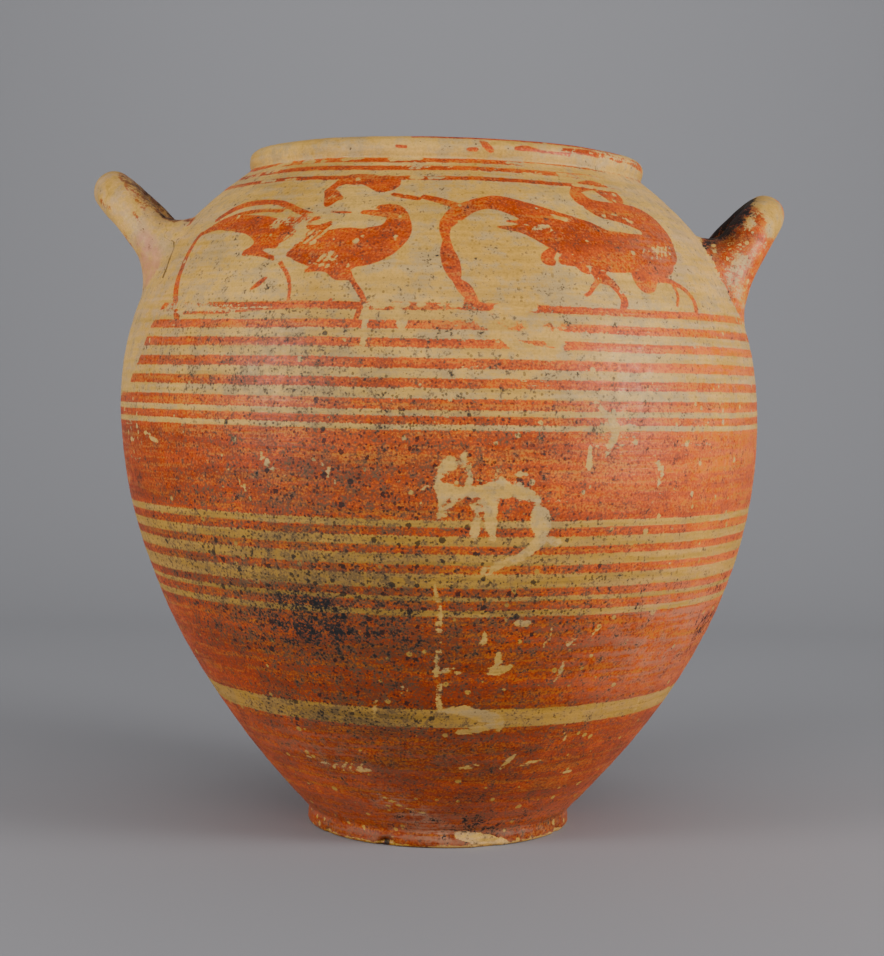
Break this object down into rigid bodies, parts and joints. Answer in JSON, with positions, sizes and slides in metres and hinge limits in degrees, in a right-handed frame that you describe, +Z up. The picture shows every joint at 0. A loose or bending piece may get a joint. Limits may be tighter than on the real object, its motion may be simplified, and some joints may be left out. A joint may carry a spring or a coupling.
{
  "type": "stamnos",
  "caption": "Wide round ceramic storage jar on a low disc foot, with a short thick lip and loop handles standing up from its shoulder.",
  "frame": {"origin": "middle of the jar's box in plan, at the level of the ring it stands on", "axes": "+Z up, the painted front faces -Y, the loop handles stand at -X and +X"},
  "size_m": [0.3414, 0.314, 0.3319],
  "materials": {
    "fired_clay": "buff fired clay with worn, softly shining orange-red slip"
  },
  "bodies": {
    "root": {"stamnos": "fired_clay"}
  },
  "joints": []
}
